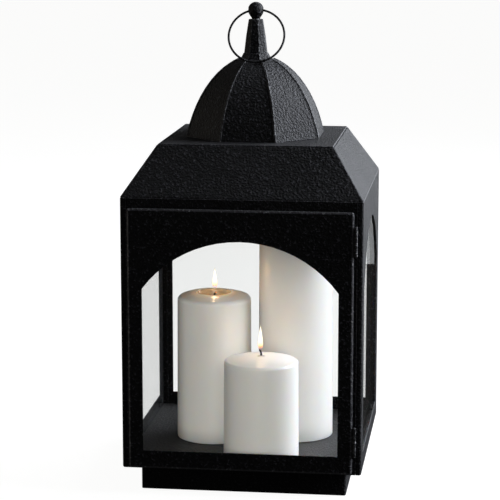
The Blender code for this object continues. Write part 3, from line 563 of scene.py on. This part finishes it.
ferrite = Finish("magnet_ferrite")
pores = ferrite.grain(ferrite.place(), 0.0007, 3.0)
ferrite_colour = ferrite.blend(pores, (0.030, 0.030, 0.033, 1), (0.085, 0.085, 0.090, 1))
ferrite.set(Base_Color=ferrite_colour, Roughness=0.45 + 0.25 * pores,
            Normal=ferrite.bump(pores, 0.3, 0.0003))
repaint("catch_magnet", ferrite.material)
print("zinc and ferrite done")

# %% [markdown]
# ## Wax
#
# Paraffin wax isn't quite opaque: light goes a few millimetres in and comes out softened,
# which subsurface scattering does. The surface is satin, a little glossier in some patches
# than in others, with faint clouds from the way it cooled. The wall of a deep pool, and the
# melt in it, are painted darker and honey-coloured: painted shade for the hollow and painted
# warm light from the flame.

# %% Wax


def wax_finish(name, white, roughness):
    wax = Finish(name)
    place = wax.place()
    clouds = wax.grain(place, 0.030, 3.0)
    skin = wax.grain(place, 0.0022, 2.0)
    colour = wax.blend(clouds, (*(0.955 * c for c in white), 1), (*white, 1))
    return wax.set(Base_Color=colour, Roughness=roughness + 0.12 * clouds,
                   Normal=wax.bump(skin, 0.06, 0.0004), Subsurface_Weight=0.55,
                   Subsurface_Radius=(1.0, 0.72, 0.50), Subsurface_Scale=0.006, Specular_IOR_Level=0.45)


WAX = wax_finish("candle_wax", (0.90, 0.885, 0.855), 0.27)
# Painted shade and painted warm flame light for the inside of a deep pool.
POOL_PAINTED_SHADE_WAX = wax_finish("pool_painted_shade_wax", (0.43, 0.37, 0.285), 0.06)
MOLTEN_WAX = wax_finish("molten_wax", (0.87, 0.84, 0.79), 0.02)
print("wax:", WAX.name, POOL_PAINTED_SHADE_WAX.name, MOLTEN_WAX.name)

# %% [markdown]
# ## The candles
#
# A pillar candle is turned about its wick, so one half outline spun round gives it all: a
# rounded foot, a side that tapers by a hair, a soft shoulder, and a top that dips to the wick.
# Candles are cast with a crown, so the top swells before that dip.
# A candle that has burned for a while has a deeper pool with a steeper wall. The rim of a
# burning candle is never quite level, so smooth noise lifts and lowers the top a little.

# %% Candle bodies
CANDLE_TURNS = 120
SHOULDER_STEPS = 10
DISH_STEPS = 14
POOL_STEPS = 10
SIDE_STEPS = 12
POOL_FLOOR = 0.84
BRIM_DROP = 0.0003
TAPER = 0.010

CANDLES = {
    "front_candle": {"shoulder": 0.0036, "crown": 0.0049, "pool_radius": 0.0, "pool_depth": 0.0010,
                     "lean": 1.0, "turn": 2.4},
    "middle_candle": {"shoulder": 0.0058, "crown": 0.0036, "pool_radius": 0.0185, "pool_depth": 0.0080,
                      "lean": 1.25, "turn": -0.95},
    "tall_candle": {"shoulder": 0.0046, "crown": 0.0, "pool_radius": 0.0, "pool_depth": 0.0018,
                    "lean": 0.8, "turn": 3.5},
}


def ease(share):
    """0 to 1 with a soft start and a soft end."""
    return share * share * (3 - 2 * share)


def candle_outline(radius, height, look):
    """Half section from the middle of the foot, up the side and in to the wick."""
    top = radius * (1 - 2 * TAPER)
    foot = 0.0015
    shoulder = look["shoulder"]
    rim = height - look["crown"]
    points = [(0, 0), (radius - foot, 0), (radius - 0.3 * foot, 0.3 * foot), (radius, foot)]
    for step in range(1, SIDE_STEPS):
        share = step / SIDE_STEPS
        points.append((radius + (top - radius) * share, foot + (rim - shoulder - foot) * share))
    for step in range(SHOULDER_STEPS + 1):
        angle = math.pi / 2 * step / SHOULDER_STEPS
        points.append((top - shoulder + shoulder * math.cos(angle),
                       rim - shoulder + shoulder * math.sin(angle)))
    start, dip, crown = top - shoulder, look["pool_depth"], look["crown"]
    if look["pool_radius"]:
        for step in range(1, POOL_STEPS):
            share = step / POOL_STEPS
            across = start + (look["pool_radius"] - start) * share
            points.append((across, rim + (crown - BRIM_DROP * share) * share * (2 - share)))
        brim = rim + crown - BRIM_DROP
        for step in range(POOL_STEPS + 1):
            share = step / POOL_STEPS
            points.append((look["pool_radius"] * (1 - (1 - POOL_FLOOR) * share),
                           brim - (dip - BRIM_DROP) * ease(share)))
        start = look["pool_radius"] * POOL_FLOOR
        rim, dip, crown = rim + crown - dip, 0.0002, 0
    for step in range(1, DISH_STEPS + 1):
        share = step / DISH_STEPS
        points.append((start * (1 - share), rim + crown * share * (2 - share) - dip * ease(share)))
    return points


def lathe(points, turns):
    """Spin an outline of (radius, height) points about Z."""
    shape = bmesh.new()
    corners = [shape.verts.new((radius, 0, height)) for radius, height in points]
    edges = [shape.edges.new(pair) for pair in zip(corners, corners[1:])]
    bmesh.ops.spin(shape, geom=corners + edges, cent=(0, 0, 0), axis=(0, 0, 1), angle=2 * math.pi,
                   steps=turns, use_merge=True)
    bmesh.ops.remove_doubles(shape, verts=shape.verts, dist=MERGE)
    return shape


def uneven_top(shape, height, reach, amount):
    """Lift and lower what is near the top by smooth noise."""
    for corner in shape.verts:
        share = max(0.0, 1 - (height - corner.co.z) / reach)
        drift = noise.noise(Vector((corner.co.x, corner.co.y, height)) * 45)
        corner.co.z += amount * share * (drift - 0.6)


wax_tops = {}
for name, look in CANDLES.items():
    low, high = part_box(name + "_wax")
    radius = (high.x - low.x) / 2
    middle = (low + high) / 2
    height = high.z - low.z
    body = lathe(candle_outline(radius, height, look), CANDLE_TURNS)
    # Faces inside a pool take the wax with painted shade and painted flame light.
    for face in body.faces:
        spot = face.calc_center_median()
        face.material_index = int(spot.z > height / 2 and spot.xy.length < look["pool_radius"])
    uneven_top(body, height, 0.012, 0.0005)
    bmesh.ops.translate(body, vec=(middle.x, middle.y, low.z), verts=body.verts)
    candle = to_object(name + "_body", body, WAX)
    candle.data.materials.append(POOL_PAINTED_SHADE_WAX)
    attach(candle, name)
    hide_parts(name + "_wax")
    wax_tops[name] = Vector((middle.x, middle.y, high.z - look["pool_depth"]))
    print(name, "radius", round(1000 * radius, 1), "mm, height", round(1000 * height, 1), "mm")

# %% [markdown]
# ## A light for the wax alone
#
# White wax and black steel are hard to light together: what opens up the one turns the other
# grey. A lamp can be given a collection of the pieces that it lights. This one stands in front,
# shines through the door's glass and leaves the steel alone, though the frame still shades it.

# %% Fill light
WAX_FILL = 46

wax_pieces = bpy.data.collections.new("lit_by_the_fill_light")
for name in CANDLES:
    wax_pieces.objects.link(bpy.data.objects[name + "_body"])
fill = softbox("wax_fill_light", (0.0, -1.0, 0.20), 2.6, 1.8, WAX_FILL, (1.0, 0.985, 0.95))
fill.light_linking.receiver_collection = wax_pieces

# %% [markdown]
# ## Molten wax
#
# Round a burning wick lies a small pool of clear, liquid wax. It is a shallow lens with a
# mirror-smooth surface, which catches the flame.

# %% Molten wax
MELT = {"front_candle": 0.0042, "middle_candle": 0.0150, "tall_candle": 0.0060}
MELT_RISE = 0.0005

for name, reach in MELT.items():
    lens = [(0, -MELT_RISE), (reach, -MELT_RISE / 2)]
    for step in range(9):
        share = step / 8
        lens.append((reach * (1 - share), MELT_RISE * ease(share)))
    pool = lathe(lens, 48)
    bmesh.ops.translate(pool, vec=wax_tops[name], verts=pool.verts)
    # In a deep pool the molten wax takes the same painted shade and flame light.
    melt = to_object(name + "_melt", pool, POOL_PAINTED_SHADE_WAX if CANDLES[name]["pool_radius"] else MOLTEN_WAX)
    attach(melt, name)
print("pools of molten wax:", len(MELT))

# %% [markdown]
# ## Wicks
#
# A wick is a braid of cotton threads. Three thin tubes twist round a line that stands up and
# then curls over, as a burning wick does. Each tube is a chain of small circles along the line,
# bridged one to the next and closed at both ends. The tip glows, and below it the cotton is
# charred black.

# %% Wicks
THREADS = 3
THREAD_RADIUS = 0.00052
TWISTS = 3.0
WICK_POINTS = 30
WICK_SUNK = 0.001
TIP_RADIUS = 0.0007

char = Finish("charred_cotton")
fibres = char.grain(char.place(), 0.0003, 3.0)
char_colour = char.blend(fibres, (0.006, 0.005, 0.005, 1), (0.045, 0.036, 0.030, 1))
char.set(Base_Color=char_colour, Roughness=0.85, Normal=char.bump(fibres, 0.5, 0.0002))

ember = Finish("glowing_tip")
sparks = ember.grain(ember.place(), 0.0005)
ember_colour = ember.blend(sparks, (1.0, 0.18, 0.03, 1), (1.0, 0.45, 0.10, 1))
ember.set(Base_Color=(0.05, 0.02, 0.01, 1), Roughness=0.9, Emission_Color=ember_colour,
          Emission_Strength=1.4)


def wick_line(length, lean):
    """Points and directions along a line that stands up and then curls over."""
    spot = Vector((0, 0, -WICK_SUNK))
    line = []
    for step in range(WICK_POINTS + 1):
        angle = lean * ease(max(0.0, step / WICK_POINTS - 0.25) / 0.75)
        ahead = Vector((math.sin(angle), 0, math.cos(angle)))
        line.append((spot.copy(), angle))
        spot += ahead * (length + WICK_SUNK) / WICK_POINTS
    return line


def braid(name, line):
    """Twisted threads along the line, as one mesh."""
    shape = bmesh.new()
    for thread in range(THREADS):
        rings = []
        for step, (spot, angle) in enumerate(line):
            twist = 2 * math.pi * (thread / THREADS + TWISTS * step / WICK_POINTS)
            side = Vector((math.cos(angle), 0, -math.sin(angle)))
            outwards = side * math.cos(twist) + Vector((0, 1, 0)) * math.sin(twist)
            centre = Matrix.Translation(spot + THREAD_RADIUS * 0.9 * outwards)
            made = bmesh.ops.create_circle(shape, segments=8, radius=THREAD_RADIUS,
                                           matrix=centre @ Matrix.Rotation(angle, 4, "Y"))
            rings.append(made["verts"])
        for below, above in zip(rings, rings[1:]):
            loops = [e for e in shape.edges
                     if all(v in below for v in e.verts) or all(v in above for v in e.verts)]
            bmesh.ops.bridge_loops(shape, edges=loops)
        for end in (rings[0], rings[-1]):
            bmesh.ops.contextual_create(shape, geom=end)
    return shape


flame_roots = {}
for name, look in CANDLES.items():
    low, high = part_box(name + "_wick")
    length = high.z - wax_tops[name].z + 0.0005
    line = wick_line(length, look["lean"])
    turn = Matrix.Rotation(look["turn"], 4, "Z")
    place = Matrix.Translation(wax_tops[name]) @ turn
    cord = braid(name, line)
    bmesh.ops.transform(cord, matrix=place, verts=cord.verts)
    wick = to_object(name + "_braided_wick", cord, char.material)
    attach(wick, name)
    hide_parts(name + "_wick")
    tip = bmesh.new()
    end = place @ Matrix.Translation(line[-1][0])
    bmesh.ops.create_icosphere(tip, subdivisions=2, radius=TIP_RADIUS, matrix=end)
    glow = to_object(name + "_wick_tip", tip, ember.material)
    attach(glow, name)
    flame_roots[name] = place @ line[-1][0]
print("wicks:", len(flame_roots))

# %% [markdown]
# ## Flames
#
# A candle flame is a thin shell of glowing soot: nearly clear and faintly blue where it leaves
# the wick, orange above that, and yellow-white in the body. A teardrop is spun from a formula,
# and its colour, its glow and how solid it looks all change with height. An outer veil of
# orange softens its edge. A small point light inside each does what the flame does to the wax.

# %% Flames
FLAMES = {
    "front_candle": {"height": 0.0268, "lift": -0.0010, "light": 0.014},
    "middle_candle": {"height": 0.0220, "lift": 0.0046, "light": 0.024},
    "tall_candle": {"height": 0.0235, "lift": 0.0012, "light": 0.016},
}
FLAME_RADIUS = 0.0026
FLAME_TURNS = 32
FLAME_STEPS = 22


def teardrop(height, radius):
    points = []
    for step in range(FLAME_STEPS + 1):
        share = step / FLAME_STEPS
        belly = math.sin(math.pi * share ** 0.54) ** 0.9 * (1 - 0.30 * share)
        points.append((radius * belly * 1.08, height * share))
    points[0] = (0, 0)
    points[-1] = (0, height)
    return lathe(points, FLAME_TURNS)


def flame_finish(name, root, height, solid, strength):
    fire = Finish(name)
    level = fire.node("ShaderNodeSeparateXYZ", {}, {0: fire.place()}, 2)
    share = (level - root.z) * (1 / height)
    colour = fire.node("ShaderNodeValToRGB", {"stops": [
        (0.0, (0.12, 0.14, 0.45)), (0.14, (0.85, 0.38, 0.16)), (0.28, (1.0, 0.72, 0.42)),
        (0.44, (1.0, 0.90, 0.70)), (0.80, (1.0, 0.93, 0.76)), (1.0, (1.0, 0.80, 0.48))]}, {0: share})
    rising = fire.step(share, 0.02, 0.34)
    fading = 1 - fire.step(share, 0.86, 1.0) * 0.7
    return fire.set(Base_Color=(0, 0, 0, 1), Roughness=1.0, Specular_IOR_Level=0.0, Emission_Color=colour,
                    Emission_Strength=strength, Alpha=(0.10 + 0.90 * rising) * fading * solid)


for name, wick_end in flame_roots.items():
    blaze = FLAMES[name]
    root = wick_end + Vector((0, 0, blaze["lift"]))
    root.x = (root.x + wax_tops[name].x) / 2
    for part, grow, solid, strength in (("flame_veil", 1.22, 0.22, 0.9), ("flame", 1.0, 0.92, 2.6)):
        height = blaze["height"] * (0.5 + grow / 2)
        drop = teardrop(height, FLAME_RADIUS * grow)
        bmesh.ops.translate(drop, vec=root, verts=drop.verts)
        look = flame_finish(f"{name}_{part}", root, height, solid, strength)
        fire = to_object(f"{name}_{part}", drop, look)
        fire.visible_shadow = False
        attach(fire, name)
    lamp = bpy.data.lights.new(name + "_flame_light", "POINT")
    lamp.energy = blaze["light"]
    lamp.color = (1.0, 0.62, 0.30)
    lamp.shadow_soft_size = FLAME_RADIUS
    shine = bpy.data.objects.new(name + "_flame_light", lamp)
    bpy.context.scene.collection.objects.link(shine)
    shine.location = root + Vector((0, 0, blaze["height"] / 2))
    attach(shine, name)
print("flames:", len(flame_roots))
